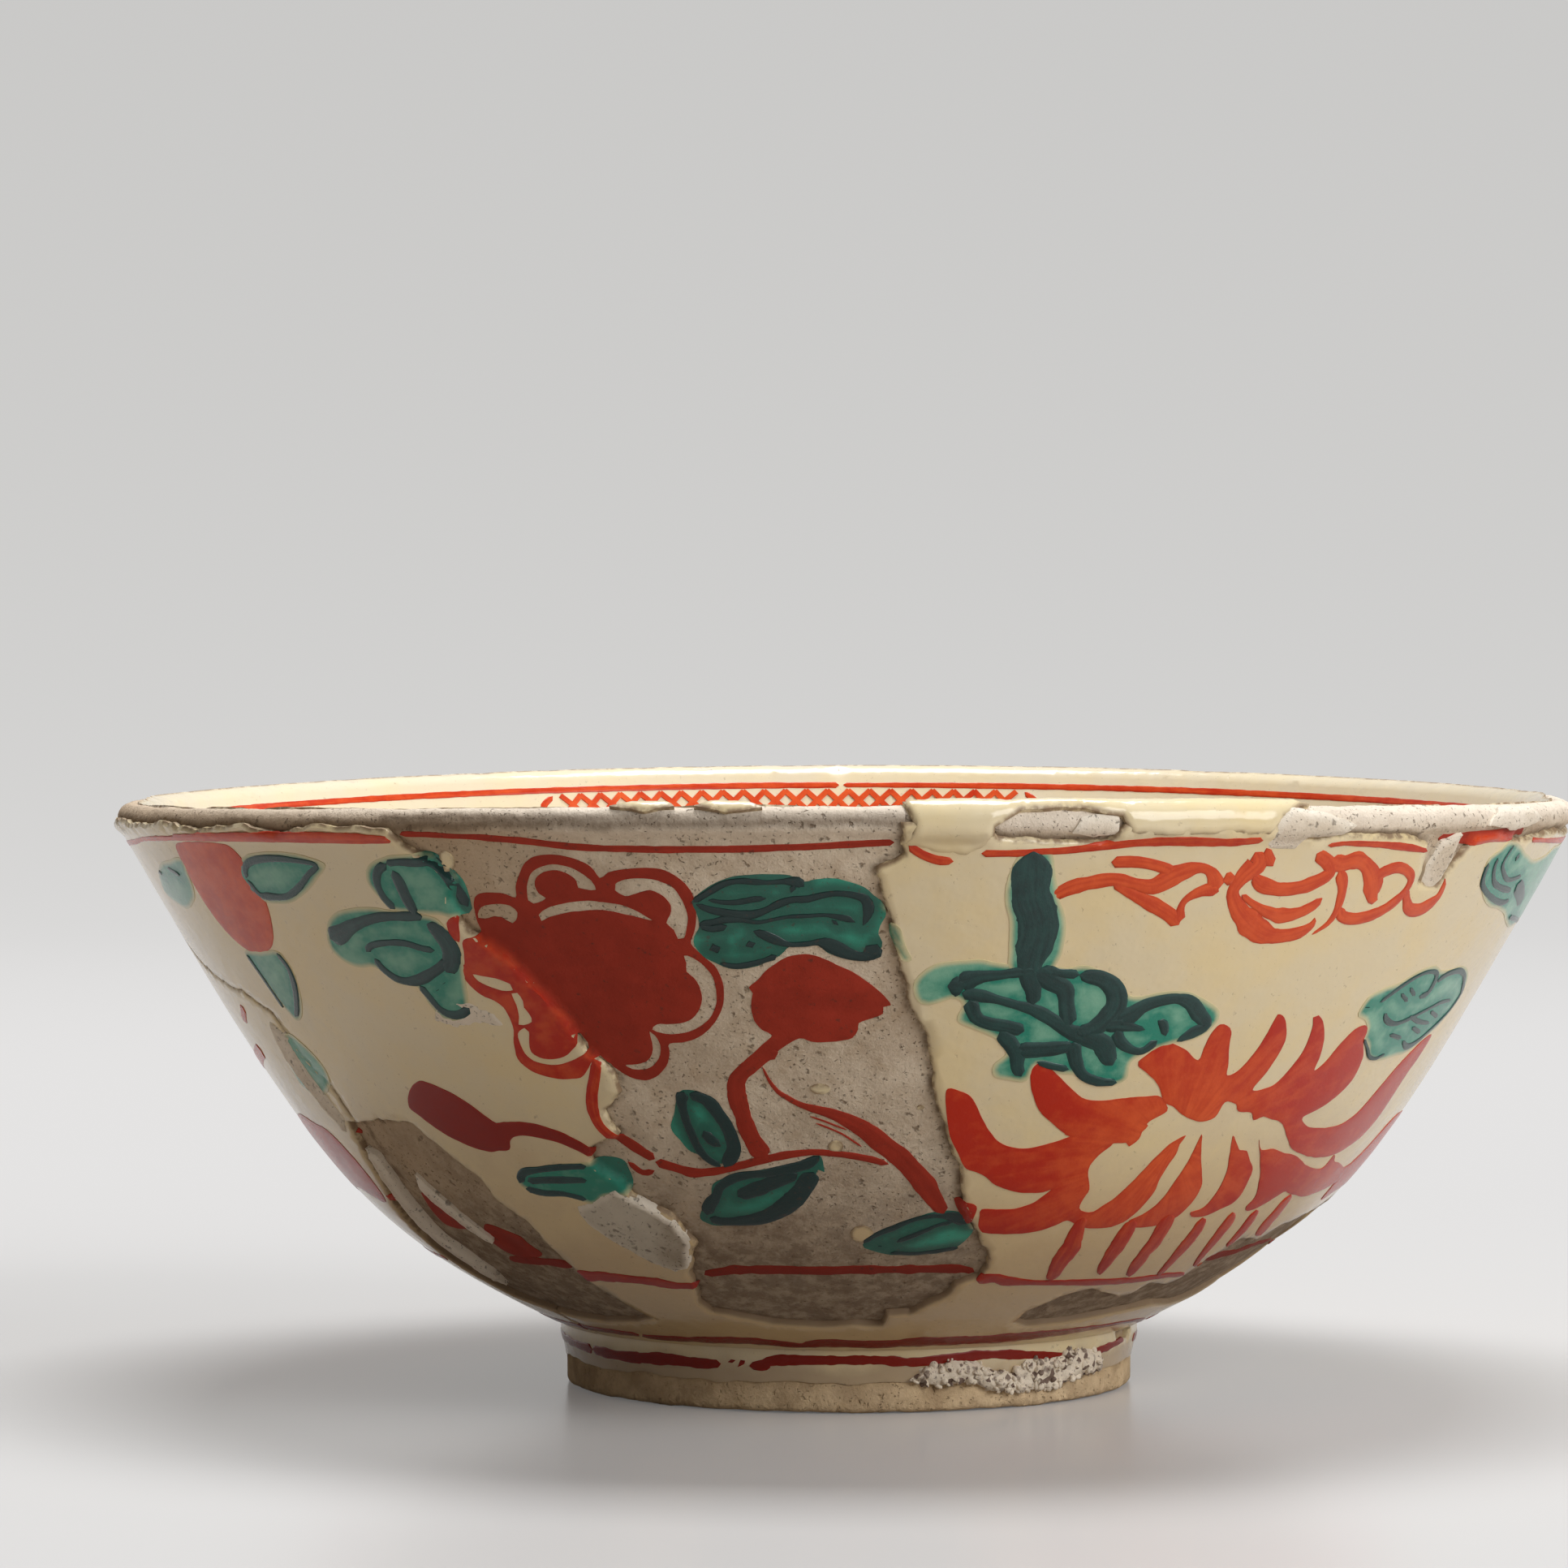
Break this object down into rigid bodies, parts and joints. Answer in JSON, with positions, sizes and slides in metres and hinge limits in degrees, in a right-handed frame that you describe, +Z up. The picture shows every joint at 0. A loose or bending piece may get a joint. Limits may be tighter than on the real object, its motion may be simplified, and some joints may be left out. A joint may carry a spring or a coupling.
{
  "type": "porcelain bowl",
  "caption": "Deep flared bowl on a turned foot ring, with thick broken glaze over a bare clay body and enamelled flowers.",
  "frame": {"origin": "on the floor under the middle of the foot ring", "axes": "+Z up through the middle of the bowl, -Y towards the enamelled front with the large bare window, +X to its right"},
  "size_m": [0.201, 0.2015, 0.0835],
  "materials": {
    "biscuit": "bare grey-beige fired clay, matte and pitted",
    "glaze": "thick warm cream glaze, glossy",
    "kiln_grit": "coarse fused sand, white, grey and black",
    "red_enamel": "iron red enamel, satin, matte where it lies on the clay",
    "green_enamel": "turquoise green enamel, glossy, with soft edges",
    "dark_enamel": "black-green outline under the green, glossy"
  },
  "bodies": {
    "root": {"biscuit_body": "biscuit", "glaze_wall_front": "glaze", "glaze_wall_back": "glaze", "glaze_inside": "glaze", "glaze_foot": "glaze", "glaze_base": "glaze", "lip_chip_left": "glaze", "lip_chip_right": "glaze", "spall_flake": "biscuit", "kiln_grit": "kiln_grit"}
  },
  "joints": []
}
